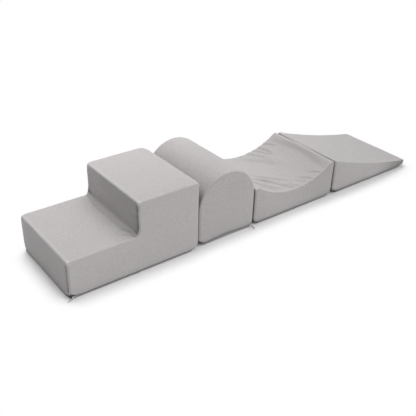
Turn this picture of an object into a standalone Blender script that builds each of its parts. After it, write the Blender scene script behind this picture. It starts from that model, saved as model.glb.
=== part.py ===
"""Soft play foam climber: steps, an arch, a wave and a ramp, four loose foam blocks that stand in a row.

Each block is a cut foam core in a sewn fabric cover. The cover has a panel on each long side, a strip over the ends
and the top, and a base panel, which a coil zip joins to them along three sides. The zip has two stringers, a slider
with its pull loop, and a fabric pull strip.

Lengths are in metres and +Z is up. The row runs along +X from the steps to the ramp, its near side faces -Y, and
the origin is on the floor under the middle of the row. Each block hangs on an empty at the middle of its base, and
its shapes are drawn round that point.
"""

import math

import bmesh
import bpy
from mathutils import Matrix, Vector

# Row
BLOCK_DEPTH = 0.5
BLOCK_GAP = 0.005
STEPS_FORWARD = 0.012

# Steps
STEPS_LENGTH = 0.73
TREAD_LENGTH = 0.376
LOWER_STEP_HEIGHT = 0.208
UPPER_STEP_HEIGHT = 0.39
INNER_CORNER_RADIUS = 0.008

# Arch
ARCH_LENGTH = 0.37
ARCH_HEIGHT = 0.385

# Wave
WAVE_LENGTH = 0.61
WAVE_HEIGHT = 0.226
WAVE_DIP_HEIGHT = 0.138
WAVE_LIP_RADIUS = 0.022

# Ramp
RAMP_LENGTH = 0.68
RAMP_HEIGHT = 0.22
RAMP_NOSE_HEIGHT = 0.046
RAMP_TOP_SAG = 0.014
RAMP_NOSE_LIFT = 0.016
RAMP_LIFT_LENGTH = 0.066

# Cover
COVER_THICKNESS = 0.0016
EDGE_RADIUS = 0.012
CORNER_RADIUS = 0.016
BASE_EDGE_RADIUS = 0.005
CLEARANCE = 0.0003

# Zip, with the stringers' slot for the slider's divider down the middle of the chain
ZIP_HEIGHT = 0.01
ZIP_OPENING = 0.008
ZIP_SLOT = 0.0016
TAPE_THICKNESS = 0.0006
TAPE_OVERLAP = 0.0015
COIL_WIDTH = 0.0017
COIL_THICKNESS = 0.0013

# Slider
SLIDER_LENGTH = 0.01
SLIDER_MOUTH_WIDTH = 0.0074
SLIDER_TAIL_WIDTH = 0.0064
SLIDER_CORNER_RADIUS = 0.0012
SLIDER_END_MARGIN = 0.0008
WING_THICKNESS = 0.0009
WING_BEVEL = 0.0002
FLANGE_WIDTH = 0.00045
DIVIDER_THICKNESS = 0.001
DIVIDER_LENGTH = 0.0035
BRIDGE_LENGTH = 0.0068
BRIDGE_WIDTH = 0.0024
BRIDGE_THICKNESS = 0.0008
BRIDGE_TUNNEL_HEIGHT = 0.0022
BRIDGE_CORNER_RADIUS = 0.0016

# Pull
PIVOT_RISE = 0.0013
WIRE_RADIUS = 0.00055
LOOP_BEND_RADIUS = 0.0009
LOOP_NECK_WIDTH = 0.0043
LOOP_WIDTH = 0.0088
LOOP_SHOULDER = 0.0045
LOOP_LENGTH = 0.0078
STRIP_LENGTH = 0.028
STRIP_WIDTH = 0.007
STRIP_LAYER = 0.0007
STRIP_FOLD_CLEARANCE = 0.00025
STRIP_END_RADIUS = 0.0012

# Side tab
TAB_WIDTH = 0.01
TAB_LENGTH = 0.005
TAB_LAYER = 0.0005
TAB_FOLD_RADIUS = 0.0007

# Foam core
CORE_CHAMFER_HEIGHT = 0.024
CORE_CHAMFER_WIDTH = 0.008

# Curve steps
CORNER_STEP = math.radians(20)
EDGE_STEPS = 2
BASE_EDGE_STEPS = 4
HOLLOW_STEPS = 14
ARCH_STEPS = 24
LIFT_STEPS = 3
WIRE_SIDES = 8
FOLD_STEPS = 8

# Directions in which the zip pulls lie at rest, seen from above
STEPS_PULL_ANGLE = math.radians(205)
ARCH_PULL_ANGLE = math.radians(270)
FAR_PULL_ANGLE = math.radians(10)

# Levels that follow from the sizes above
RIM_HEIGHT = ZIP_HEIGHT - ZIP_OPENING / 2
SEWN_FOOT_HEIGHT = RIM_HEIGHT + CLEARANCE
PANEL_FOOT_HEIGHT = ZIP_HEIGHT + ZIP_OPENING / 2
TAPE_DEPTH = COVER_THICKNESS + CLEARANCE
CORE_DEPTH = TAPE_DEPTH + TAPE_THICKNESS + CLEARANCE
COIL_DEPTH = TAPE_DEPTH - COIL_THICKNESS
WING_DEPTH = COIL_DEPTH - CLEARANCE
BACK_WING_DEPTH = TAPE_DEPTH + TAPE_THICKNESS + CLEARANCE
SEAM_ANGLE = math.pi / 4
SEAM_HALF_GAP = CLEARANCE / 2 / (EDGE_RADIUS - COVER_THICKNESS)

NEAR = -1
FAR = 1
LEFT = -1
RIGHT = 1


# Outlines

def left_of(direction):
    """The way out of an outline that runs clockwise."""
    return Vector((-direction.y, direction.x))


def arc(centre, radius, start, end, steps, hollow=False):
    """Stations round an arc: each is a point and the way out of the solid there."""
    stations = []
    for k in range(steps + 1):
        angle = start + (end - start) * k / steps
        ray = Vector((math.cos(angle), math.sin(angle)))
        stations.append((centre + ray * radius, -ray if hollow else ray))
    return stations


def rounded_corner(before, corner, after, radius):
    """Stations round one corner of a clockwise outline, turning outwards or inwards."""
    way_in = (corner - before).normalized()
    way_out = (after - corner).normalized()
    first = left_of(way_in)
    last = left_of(way_out)
    turn = way_in.cross(way_out)
    bulge = -1 if turn > 0 else 1
    centre = corner - (first + last) * (bulge * radius / (1 + first.dot(last)))
    start = math.atan2(first.y, first.x)
    angle = math.copysign(math.acos(max(-1, min(1, first.dot(last)))), turn)
    steps = max(1, round(abs(angle) / CORNER_STEP))
    stations = []
    for k in range(steps + 1):
        heading = start + angle * k / steps
        normal = Vector((math.cos(heading), math.sin(heading)))
        stations.append((centre + normal * (bulge * radius), normal))
    return stations


def rounded(corners, radius):
    """Stations round a closed clockwise polygon with rounded corners."""
    stations = []
    count = len(corners)
    for k in range(count):
        stations += rounded_corner(corners[k - 1], corners[k], corners[(k + 1) % count], radius)
    return stations


def hollow_top(first, second, corner_radius, hollow_radius):
    """Two rounded corners, given by their centres, and the hollow arc that runs smoothly into both."""
    half = (second - first) / 2
    reach = math.sqrt((hollow_radius + corner_radius) ** 2 - half.length_squared)
    centre = first + half + left_of(half.normalized()) * reach
    down = first - centre
    up = second - centre
    start = math.atan2(down.y, down.x)
    end = math.atan2(up.y, up.x)
    steps_in = max(1, round(-start / CORNER_STEP))
    steps_out = max(1, round((math.pi + end) / CORNER_STEP))
    hollow = arc(centre, hollow_radius, start, end, HOLLOW_STEPS, hollow=True)
    rise = arc(first, corner_radius, math.pi, start + math.pi, steps_in)
    fall = arc(second, corner_radius, end + math.pi, 0, steps_out)
    return rise + hollow[1:-1] + fall


def steps_top():
    half = STEPS_LENGTH / 2
    riser = TREAD_LENGTH - half
    points = [
        Vector((-half, 0)),
        Vector((-half, LOWER_STEP_HEIGHT)),
        Vector((riser, LOWER_STEP_HEIGHT)),
        Vector((riser, UPPER_STEP_HEIGHT)),
        Vector((half, UPPER_STEP_HEIGHT)),
        Vector((half, 0)),
    ]
    radii = [CORNER_RADIUS, INNER_CORNER_RADIUS, CORNER_RADIUS, CORNER_RADIUS]
    stations = []
    for k, radius in enumerate(radii, start=1):
        stations += rounded_corner(points[k - 1], points[k], points[k + 1], radius)
    return stations


def arch_top():
    radius = ARCH_LENGTH / 2
    return arc(Vector((0, ARCH_HEIGHT - radius)), radius, math.pi, 0, ARCH_STEPS)


def wave_top():
    lip = WAVE_LIP_RADIUS
    half = WAVE_LENGTH / 2 - lip
    drop = WAVE_DIP_HEIGHT - WAVE_HEIGHT + lip
    radius = (half**2 + drop**2 - lip**2) / (2 * (lip - drop))
    level = WAVE_HEIGHT - lip
    return hollow_top(Vector((-half, level)), Vector((half, level)), lip, radius)


def ramp_top():
    corner = CORNER_RADIUS
    half = RAMP_LENGTH / 2 - corner
    first = Vector((-half, RAMP_HEIGHT - corner))
    second = Vector((half, RAMP_NOSE_HEIGHT - corner))
    radius = (second - first).length_squared / (8 * RAMP_TOP_SAG)
    return hollow_top(first, second, corner, radius)


def outline(block, left_foot, right_foot):
    """A block's long outline from the foot of its left end, over the top, to the foot of its right end."""
    half = block["length"] / 2
    start = (Vector((-half, left_foot)), Vector((-1, 0)))
    end = (Vector((half, right_foot)), Vector((1, 0)))
    return [start] + block["top"]() + [end]


def plan(block, depth):
    """The rounded rectangle of a block's base, at a depth below the outside of its cover."""
    half_x = block["length"] / 2
    half_y = BLOCK_DEPTH / 2
    corners = [
        Vector((half_x, -half_y)),
        Vector((-half_x, -half_y)),
        Vector((-half_x, half_y)),
        Vector((half_x, half_y)),
    ]
    return [point - normal * depth for point, normal in rounded(corners, EDGE_RADIUS)]


def long_edge(depth, start, end):
    """Points round a long edge, from the outline's side to the block's side, as inset and distance in."""
    radius = EDGE_RADIUS - depth
    points = []
    for k in range(EDGE_STEPS + 1):
        angle = start + (end - start) * k / EDGE_STEPS
        points.append((EDGE_RADIUS - radius * math.cos(angle), EDGE_RADIUS - radius * math.sin(angle)))
    return points


def base_edge(depth):
    """Points round the base's lower edge, from its rim down to its flat, as inset and height."""
    radius = BASE_EDGE_RADIUS - depth
    points = [(depth, RIM_HEIGHT)]
    for k in range(BASE_EDGE_STEPS + 1):
        angle = math.pi / 2 * k / BASE_EDGE_STEPS
        inset = BASE_EDGE_RADIUS - radius * math.cos(angle)
        points.append((inset, BASE_EDGE_RADIUS - radius * math.sin(angle)))
    return points


# Meshes

def finished(bm, name):
    """The mesh of a finished bmesh, with its faces pointing out."""
    bmesh.ops.recalc_face_normals(bm, faces=bm.faces)
    mesh = bpy.data.meshes.new(name)
    bm.to_mesh(mesh)
    bm.free()
    return mesh


def add_rings(bm, rings, closed=True):
    """Joins rings of points by faces, round each ring when it is closed, and returns the rings' vertices."""
    grid = [[bm.verts.new(point) for point in ring] for ring in rings]
    for ring, after in zip(grid, grid[1:]):
        bridge(bm, ring, after, closed)
    return grid


def bridge(bm, ring, after, closed=True):
    count = len(ring)
    for k in range(count if closed else count - 1):
        following = (k + 1) % count
        bm.faces.new((ring[k], ring[following], after[following], after[k]))


def loft(name, rings):
    """A solid through closed rings, with a flat face over the first and the last."""
    bm = bmesh.new()
    grid = add_rings(bm, rings)
    bm.faces.new(grid[0])
    bm.faces.new(grid[-1])
    return finished(bm, name)


def ring_loft(name, rings):
    """A solid through closed rings whose last ring meets the first."""
    bm = bmesh.new()
    grid = add_rings(bm, rings)
    bridge(bm, grid[-1], grid[0])
    return finished(bm, name)


def joined(name, meshes, operation="UNION"):
    """One mesh from the first mesh with the others added to it or cut from it."""
    helpers = [bpy.data.objects.new(mesh.name, mesh) for mesh in meshes]
    for helper in helpers:
        bpy.context.scene.collection.objects.link(helper)
    for helper in helpers[1:]:
        boolean = helpers[0].modifiers.new(helper.name, "BOOLEAN")
        boolean.operation = operation
        boolean.solver = "EXACT"
        boolean.object = helper
    bpy.context.view_layer.update()
    evaluated = helpers[0].evaluated_get(bpy.context.evaluated_depsgraph_get())
    mesh = bpy.data.meshes.new_from_object(evaluated)
    mesh.name = name
    for helper in helpers:
        bpy.data.objects.remove(helper)
    return mesh


def slab(name, points, low, high, to_world):
    """A flat shape between two levels of the third direction."""
    return loft(name, [[to_world(x, y, level) for x, y in points] for level in (low, high)])


def across(x, depth, z):
    """Drawn along the zip and outwards, and given its width by z."""
    return Vector((x, depth, z))


def along_face(x, z, depth):
    """Drawn on the face of the zip, and given its thickness by depth."""
    return Vector((x, depth, z))


# Cover panels and foam core

def station_point(station, inset, y):
    point, normal = station
    inner = point - normal * inset
    return Vector((inner.x, y, inner.y))


def cover_outline(block):
    """The outline from the sewn end's foot, which meets the base's rim, to the foot over the zip."""
    if block["sewn_end"] == LEFT:
        return outline(block, SEWN_FOOT_HEIGHT, PANEL_FOOT_HEIGHT)
    return outline(block, PANEL_FOOT_HEIGHT, SEWN_FOOT_HEIGHT)[::-1]


def side_panel(block, side):
    """The flat panel on a long side, with its rim turned over the edge to the seam.

    Its foot runs above the zip, and steps down to the base's rim round the corner at the sewn end.
    """
    start = SEAM_ANGLE + SEAM_HALF_GAP
    outside = long_edge(0, start, math.pi / 2)
    inside = long_edge(COVER_THICKNESS, start, math.pi / 2)
    stations = cover_outline(block)
    foot, normal = stations[0]
    stations.insert(1, (Vector((foot.x, PANEL_FOOT_HEIGHT)), normal))
    rings = []
    for inset, distance in inside[::-1] + outside:
        y = side * (BLOCK_DEPTH / 2 - distance)
        rings.append([station_point(station, inset, y) for station in stations])
    bm = bmesh.new()
    grid = add_rings(bm, rings, closed=False)
    inner = grid[0]
    outer = grid[-1]
    bm.faces.new(inner[1:])
    bm.faces.new(outer[1:])
    bm.faces.new([ring[0] for ring in grid])
    bm.faces.new((inner[0], outer[0], outer[1], inner[1]))
    bm.faces.new([inner[1], outer[1]] + [ring[-1] for ring in grid[::-1]])
    return finished(bm, "side_panel")


def top_panel(block):
    """The strip over the ends and the top, which reaches down to the base's rim where no zip parts them."""
    end = SEAM_ANGLE - SEAM_HALF_GAP
    near = [(inset, distance - BLOCK_DEPTH / 2) for inset, distance in long_edge(0, end, 0)]
    near_inside = [(i, d - BLOCK_DEPTH / 2) for i, d in long_edge(COVER_THICKNESS, 0, end)]
    far = [(inset, -y) for inset, y in near[::-1]]
    far_inside = [(inset, -y) for inset, y in near_inside[::-1]]
    loop = near + far + far_inside + near_inside
    rings = []
    for station in cover_outline(block):
        rings.append([station_point(station, inset, y) for inset, y in loop])
    return loft("top_panel", rings)


def base_panel(block):
    """A shallow tray: the base's flat, with its edges turned up to the zip."""
    rings = []
    for inset, height in base_edge(COVER_THICKNESS)[::-1] + base_edge(0):
        rings.append([Vector((x, y, height)) for x, y in plan(block, inset)])
    return loft("base_panel", rings)


def foam_core(block):
    """The cut foam block, with its lower edges chamfered where the zip runs."""
    foot = COVER_THICKNESS + CLEARANCE
    chamfer_top = foot + CORE_CHAMFER_HEIGHT
    near = [(i, d - BLOCK_DEPTH / 2) for i, d in long_edge(CORE_DEPTH, math.pi / 2, SEAM_ANGLE)]
    near += [(i, d - BLOCK_DEPTH / 2) for i, d in long_edge(CORE_DEPTH, SEAM_ANGLE, 0)][1:]
    section = near + [(inset, -y) for inset, y in near[::-1]]
    stations = outline(block, chamfer_top, chamfer_top)
    bm = bmesh.new()
    rings = [[station_point(station, inset, y) for station in stations] for inset, y in section]
    grid = add_rings(bm, rings, closed=False)
    bm.faces.new(grid[0])
    bm.faces.new(grid[-1])
    waist = [ring[0] for ring in grid] + [ring[-1] for ring in grid[::-1]]
    middle_x = block["length"] / 2 - EDGE_RADIUS
    middle_y = BLOCK_DEPTH / 2 - EDGE_RADIUS
    shrink = 1 - CORE_CHAMFER_WIDTH / (EDGE_RADIUS - CORE_DEPTH)
    sole = []
    for vert in waist:
        centre = Vector((math.copysign(middle_x, vert.co.x), math.copysign(middle_y, vert.co.y), 0))
        corner = Vector((vert.co.x, vert.co.y, 0)) - centre
        sole.append(bm.verts.new(centre + corner * shrink + Vector((0, 0, foot))))
    bridge(bm, waist, sole)
    bm.faces.new(sole)
    return finished(bm, "foam_core")


# Zip

def zip_path(block):
    """Stations along the zip: one long side, the end that opens, and the other long side."""
    half_x = block["length"] / 2
    half_y = BLOCK_DEPTH / 2
    run_end = half_x - EDGE_RADIUS
    corner = Vector((run_end, half_y - EDGE_RADIUS))
    near_turn = arc(Vector((corner.x, -corner.y)), EDGE_RADIUS, -math.pi / 2, 0, 2 * EDGE_STEPS)
    far_turn = arc(corner, EDGE_RADIUS, 0, math.pi / 2, 2 * EDGE_STEPS)
    sewn_x = CLEARANCE - run_end
    start = (Vector((sewn_x, -half_y)), Vector((0, -1)))
    end = (Vector((sewn_x, half_y)), Vector((0, 1)))
    stations = [start] + near_turn + far_turn + [end]
    if block["sewn_end"] == LEFT:
        return stations
    return [(Vector((-p.x, p.y)), Vector((-n.x, n.y))) for p, n in stations]


def zip_stringer(block, side):
    """One tape with its half of the coil, above the slot when side is 1 and below it when side is -1."""
    slot = ZIP_SLOT / 2
    coil_edge = slot + COIL_WIDTH
    tape_edge = ZIP_OPENING / 2 + TAPE_OVERLAP
    back = TAPE_DEPTH + TAPE_THICKNESS
    section = [
        (COIL_DEPTH, slot),
        (COIL_DEPTH, coil_edge),
        (TAPE_DEPTH, coil_edge),
        (TAPE_DEPTH, tape_edge),
        (back, tape_edge),
        (back, slot),
    ]
    rings = []
    for point, normal in zip_path(block):
        ring = []
        for depth, rise in section:
            inner = point - normal * depth
            ring.append(Vector((inner.x, inner.y, ZIP_HEIGHT + side * rise)))
        rings.append(ring)
    return loft("zip_stringer", rings)


def wing_outline():
    """The slider's face: wide at its mouth, on the -X side, and narrower at its tail."""
    mouth = SLIDER_MOUTH_WIDTH / 2
    tail = SLIDER_TAIL_WIDTH / 2
    half = SLIDER_LENGTH / 2
    corners = [Vector((-half, mouth)), Vector((half, tail)), Vector((half, -tail)), Vector((-half, -mouth))]
    return [point for point, _ in rounded(corners, SLIDER_CORNER_RADIUS)]


def wing(name, front):
    """One bevelled plate of the slider. Depth runs inwards, along +Y."""
    mesh = slab(name, wing_outline(), front, front + WING_THICKNESS, along_face)
    bm = bmesh.new()
    bm.from_mesh(mesh)
    edges = [edge for edge in bm.edges if edge.calc_face_angle() > SEAM_ANGLE]
    bmesh.ops.bevel(bm, geom=edges, offset=WING_BEVEL, segments=1, affect="EDGES")
    bm.to_mesh(mesh)
    bm.free()
    return mesh


def flange(name, side):
    """The guide along one edge of the slider's outer wing, which holds the coil between the wings."""
    root = WING_DEPTH - WING_THICKNESS / 2
    tip = TAPE_DEPTH - CLEARANCE
    end = SLIDER_LENGTH / 2 - SLIDER_CORNER_RADIUS
    slope = (SLIDER_TAIL_WIDTH - SLIDER_MOUTH_WIDTH) / 2 / SLIDER_LENGTH
    middle = (SLIDER_TAIL_WIDTH + SLIDER_MOUTH_WIDTH) / 4 - WING_BEVEL
    points = []
    for x, inset in ((-end, 0), (end, 0), (end, FLANGE_WIDTH), (-end, FLANGE_WIDTH)):
        points.append(Vector((x, side * (middle + slope * x - inset))))
    return slab(name, points, root, tip, along_face)


def divider():
    """The post that parts the two stringers at the slider's mouth and carries the outer wing."""
    half = DIVIDER_THICKNESS / 2
    front = WING_BEVEL + SLIDER_CORNER_RADIUS - SLIDER_LENGTH / 2
    back = front + DIVIDER_LENGTH
    middle = (front + back) / 2
    points = [
        Vector((front, 0)),
        Vector((front + half, half)),
        Vector((middle, half)),
        Vector((back, 0)),
        Vector((middle, -half)),
        Vector((front + half, -half)),
    ]
    root = WING_DEPTH - WING_THICKNESS / 2
    tip = BACK_WING_DEPTH + WING_THICKNESS / 2
    return slab("divider", points, root, tip, along_face)


def bridge_strap():
    """The arched strap over the outer wing, whose tunnel holds the pull loop."""
    face = WING_DEPTH - WING_THICKNESS
    foot = face + WING_THICKNESS / 2
    crest = face - BRIDGE_TUNNEL_HEIGHT
    half = BRIDGE_LENGTH / 2
    thick = BRIDGE_THICKNESS
    inner_radius = BRIDGE_CORNER_RADIUS - thick
    outside = strap_line(half, foot, crest - thick, BRIDGE_CORNER_RADIUS)
    inside = strap_line(half - thick, foot, crest, inner_radius)
    points = outside + inside[::-1]
    return slab("bridge_strap", points, -BRIDGE_WIDTH / 2, BRIDGE_WIDTH / 2, across)


def strap_line(half, foot, crest, radius):
    """A line that rises from one foot, turns over the crest and comes down to the other foot."""
    points = [Vector((-half, -foot)), Vector((-half, -crest)), Vector((half, -crest)), Vector((half, -foot))]
    line = [points[0]]
    for k in (1, 2):
        line += [p for p, _ in rounded_corner(points[k - 1], points[k], points[k + 1], radius)]
    line.append(points[3])
    return [Vector((point.x, -point.y)) for point in line]


def slider_mesh():
    """The whole slider: two wings, the divider between them, two guide flanges and the bridge."""
    parts = [
        wing("outer_wing", WING_DEPTH - WING_THICKNESS),
        wing("back_wing", BACK_WING_DEPTH),
        divider(),
        flange("upper_flange", 1),
        flange("lower_flange", -1),
        bridge_strap(),
    ]
    return joined("zip_slider", parts)


def pull_loop_mesh():
    """A round wire loop, narrow at its pivot on the slider and wide at the bar that the strip folds over."""
    neck = LOOP_NECK_WIDTH / 2
    wide = LOOP_WIDTH / 2
    corners = [
        Vector((0, -neck)),
        Vector((0, neck)),
        Vector((LOOP_SHOULDER, wide)),
        Vector((LOOP_LENGTH, wide)),
        Vector((LOOP_LENGTH, -wide)),
        Vector((LOOP_SHOULDER, -wide)),
    ]
    rings = []
    for point, normal in rounded(corners, LOOP_BEND_RADIUS):
        ring = []
        for k in range(WIRE_SIDES):
            angle = 2 * math.pi * k / WIRE_SIDES
            centre = point + normal * (WIRE_RADIUS * math.cos(angle))
            ring.append(Vector((centre.x, WIRE_RADIUS * math.sin(angle), centre.y)))
        rings.append(ring)
    return ring_loft("zip_pull_loop", rings)


def pull_strip_mesh():
    """A strip of cover fabric, folded over the loop's outer bar and sewn to itself."""
    eye = WIRE_RADIUS + STRIP_FOLD_CLEARANCE
    fold = eye + STRIP_LAYER
    bend = math.asin(STRIP_LAYER / fold)
    far_end = LOOP_LENGTH + STRIP_LENGTH
    bar = Vector((LOOP_LENGTH, 0))
    points = [point for point, _ in arc(bar, fold, 2 * math.pi - bend, bend, FOLD_STEPS)]
    points += [
        Vector((far_end - STRIP_END_RADIUS, STRIP_LAYER)),
        Vector((far_end, STRIP_LAYER / 2)),
        Vector((far_end, -STRIP_LAYER / 2)),
        Vector((far_end - STRIP_END_RADIUS, -STRIP_LAYER)),
    ]
    hole = [point for point, _ in arc(bar, eye, 2 * math.pi, 0, FOLD_STEPS)][1:]
    half = STRIP_WIDTH / 2
    body = slab("strip_body", points, -half, half, across)
    cutter = slab("strip_eye", hole, -STRIP_WIDTH, STRIP_WIDTH, across)
    return joined("zip_pull_strip", [body, cutter], "DIFFERENCE")


def side_tab_mesh():
    """A short folded tape that hangs from the base's seam, fold down."""
    inner = TAB_FOLD_RADIUS - TAB_LAYER
    fold_z = TAB_FOLD_RADIUS - TAB_LENGTH
    fold = Vector((0, fold_z))
    outside = [point for point, _ in arc(fold, TAB_FOLD_RADIUS, math.pi, 2 * math.pi, FOLD_STEPS)]
    inside = [point for point, _ in arc(fold, inner, 2 * math.pi, math.pi, FOLD_STEPS)]
    outside = [Vector((-TAB_FOLD_RADIUS, 0))] + outside + [Vector((TAB_FOLD_RADIUS, 0))]
    inside = [Vector((inner, 0))] + inside + [Vector((-inner, 0))]
    rings = []
    for x in (-TAB_WIDTH / 2, TAB_WIDTH / 2):
        rings.append([Vector((x, y, z)) for y, z in outside + inside])
    return loft("side_tab", rings)


# Ramp nose

def lift_nose(mesh):
    """Bends a ramp piece so that the nose's underside rises clear of the floor and its top stays."""
    start = RAMP_LENGTH / 2 - RAMP_LIFT_LENGTH
    bm = bmesh.new()
    bm.from_mesh(mesh)
    for k in range(LIFT_STEPS):
        knee = Vector((start + RAMP_LIFT_LENGTH * k / LIFT_STEPS, 0, 0))
        geometry = bm.verts[:] + bm.edges[:] + bm.faces[:]
        bmesh.ops.bisect_plane(bm, geom=geometry, plane_co=knee, plane_no=Vector((1, 0, 0)))
    for vert in bm.verts:
        share = max(0, (vert.co.x - start) / RAMP_LIFT_LENGTH)
        height_share = max(0, 1 - vert.co.z / RAMP_NOSE_HEIGHT)
        vert.co.z += RAMP_NOSE_LIFT * share * (2 - share) * height_share
    bm.to_mesh(mesh)
    bm.free()


# Materials

def material(name, colour, roughness, metallic=0):
    made = bpy.data.materials.new(name)
    made.use_nodes = True
    shader = made.node_tree.nodes["Principled BSDF"]
    shader.inputs["Base Color"].default_value = (*colour, 1)
    shader.inputs["Roughness"].default_value = roughness
    shader.inputs["Metallic"].default_value = metallic
    return made


def cover_fabric(name):
    return material(name, (0.48, 0.459, 0.459), 0.95)


def foam(name):
    return material(name, (0.78, 0.74, 0.62), 0.9)


def zip_tape(name):
    return material(name, (0.36, 0.345, 0.345), 0.8)


def nickel(name):
    return material(name, (0.62, 0.61, 0.6), 0.25, 1)


# Objects

def place(name, mesh, make_material, parent, location=(0, 0, 0), rotation=None):
    made = bpy.data.objects.new(name, mesh)
    bpy.context.scene.collection.objects.link(made)
    made.parent = parent
    made.matrix_local = Matrix.Translation(location) @ (rotation or Matrix.Identity(4))
    made.data.materials.clear()
    made.data.materials.append(make_material(name))
    return made


def add_empty(name, location):
    made = bpy.data.objects.new(name, None)
    bpy.context.scene.collection.objects.link(made)
    made.location = location
    return made


def add_cover_and_core(block, parent):
    name = block["name"]
    meshes = {
        "foam_core": (foam_core(block), foam),
        "near_side_panel": (side_panel(block, NEAR), cover_fabric),
        "far_side_panel": (side_panel(block, FAR), cover_fabric),
        "top_panel": (top_panel(block), cover_fabric),
        "base_panel": (base_panel(block), cover_fabric),
        "upper_zip_stringer": (zip_stringer(block, 1), zip_tape),
        "lower_zip_stringer": (zip_stringer(block, -1), zip_tape),
    }
    for piece, (mesh, make_material) in meshes.items():
        if block["lifted_nose"]:
            lift_nose(mesh)
        made = place(f"{name}_{piece}", mesh, make_material, parent)
        mesh.shade_smooth()
        mesh.set_sharp_from_angle(angle=SEAM_ANGLE)
        made.data.name = made.name


def add_slider(block, parent, mesh):
    """The slider at the end of its run, mouth towards the sewn end, and its outer face out of the cover."""
    side = block["slider_side"]
    end = block["sewn_end"]
    x = end * (block["length"] / 2 - EDGE_RADIUS - SLIDER_END_MARGIN - SLIDER_LENGTH / 2)
    y = side * BLOCK_DEPTH / 2
    turn = Matrix.Identity(4)
    if side == FAR:
        turn = Matrix.Rotation(math.pi, 4, "X") @ turn
    if end == RIGHT:
        turn = Matrix.Rotation(math.pi, 4, "Y") @ turn
    name = f"{block['name']}_zip_slider"
    place(name, mesh.copy(), nickel, parent, Vector((x, y, ZIP_HEIGHT)), turn)
    pivot_out = PIVOT_RISE + WING_THICKNESS - WING_DEPTH
    return Vector((x, y + side * pivot_out, ZIP_HEIGHT))


def add_pull(block, parent, pivot, loop, strip):
    """The wire loop and its strip, with their origins on the pivot in the slider's tunnel."""
    turn = Matrix.Rotation(block["pull_angle"], 4, "Z")
    name = block["name"]
    place(f"{name}_zip_pull_loop", loop.copy(), nickel, parent, pivot, turn)
    place(f"{name}_zip_pull_strip", strip.copy(), cover_fabric, parent, pivot, turn)


def add_side_tab(block, parent, mesh):
    y = -BLOCK_DEPTH / 2 - CLEARANCE - TAB_FOLD_RADIUS
    name = f"{block['name']}_side_tab"
    place(name, mesh.copy(), cover_fabric, parent, Vector((0, y, RIM_HEIGHT)))


def blocks():
    """The four blocks, from the left end of the row to the right."""
    return [
        {
            "name": "steps", "length": STEPS_LENGTH, "top": steps_top, "y": -STEPS_FORWARD,
            "sewn_end": LEFT, "slider_side": NEAR, "pull_angle": STEPS_PULL_ANGLE,
            "tab": True, "lifted_nose": False,
        },
        {
            "name": "arch", "length": ARCH_LENGTH, "top": arch_top, "y": 0,
            "sewn_end": RIGHT, "slider_side": NEAR, "pull_angle": ARCH_PULL_ANGLE,
            "tab": False, "lifted_nose": False,
        },
        {
            "name": "wave", "length": WAVE_LENGTH, "top": wave_top, "y": 0,
            "sewn_end": LEFT, "slider_side": FAR, "pull_angle": FAR_PULL_ANGLE,
            "tab": True, "lifted_nose": False,
        },
        {
            "name": "ramp", "length": RAMP_LENGTH, "top": ramp_top, "y": 0,
            "sewn_end": LEFT, "slider_side": FAR, "pull_angle": FAR_PULL_ANGLE,
            "tab": True, "lifted_nose": True,
        },
    ]


def main():
    for old in list(bpy.data.objects):
        bpy.data.objects.remove(old)
    slider = slider_mesh()
    loop = pull_loop_mesh()
    strip = pull_strip_mesh()
    tab = side_tab_mesh()
    row = blocks()
    left = -(sum(block["length"] for block in row) + BLOCK_GAP * (len(row) - 1)) / 2
    for block in row:
        middle = left + block["length"] / 2
        parent = add_empty(f"{block['name']}_block", Vector((middle, block["y"], 0)))
        bpy.context.view_layer.update()
        add_cover_and_core(block, parent)
        pivot = add_slider(block, parent, slider)
        add_pull(block, parent, pivot, loop, strip)
        if block["tab"]:
            add_side_tab(block, parent, tab)
        left += block["length"] + BLOCK_GAP


main()
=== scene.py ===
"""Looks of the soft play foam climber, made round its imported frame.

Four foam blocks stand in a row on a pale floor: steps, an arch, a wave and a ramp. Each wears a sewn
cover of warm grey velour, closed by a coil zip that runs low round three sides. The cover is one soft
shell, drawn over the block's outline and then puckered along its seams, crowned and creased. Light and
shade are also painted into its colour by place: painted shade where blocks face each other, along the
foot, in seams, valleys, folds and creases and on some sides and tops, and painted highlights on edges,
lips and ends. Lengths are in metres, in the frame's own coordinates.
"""

import math

import bpy
import numpy as np
from mathutils import Matrix, Vector
from mathutils.geometry import delaunay_2d_cdt


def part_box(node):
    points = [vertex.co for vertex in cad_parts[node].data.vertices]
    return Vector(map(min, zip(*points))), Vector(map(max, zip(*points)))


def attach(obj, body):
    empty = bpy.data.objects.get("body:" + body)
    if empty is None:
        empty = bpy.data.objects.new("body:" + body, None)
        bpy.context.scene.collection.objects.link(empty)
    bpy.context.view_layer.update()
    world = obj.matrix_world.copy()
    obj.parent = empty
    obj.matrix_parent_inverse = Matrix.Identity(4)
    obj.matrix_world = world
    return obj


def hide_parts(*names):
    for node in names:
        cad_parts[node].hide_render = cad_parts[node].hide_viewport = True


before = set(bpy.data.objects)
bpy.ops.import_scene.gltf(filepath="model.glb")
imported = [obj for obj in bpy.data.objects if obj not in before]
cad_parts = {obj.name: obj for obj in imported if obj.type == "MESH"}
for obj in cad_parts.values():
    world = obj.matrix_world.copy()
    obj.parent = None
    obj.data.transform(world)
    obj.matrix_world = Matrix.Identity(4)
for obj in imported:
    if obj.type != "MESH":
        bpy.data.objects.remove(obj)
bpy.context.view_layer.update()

LEFT = -1
RIGHT = 1

# Camera
CAMERA_PLACE = Vector((-2.12097, -2.43067, 1.85451))
CAMERA_YAW = math.radians(38.0904)
CAMERA_PITCH = math.radians(30.5582)
CAMERA_ROLL = math.radians(1.7823)
CAMERA_LENS_MM = 55.16

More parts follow.
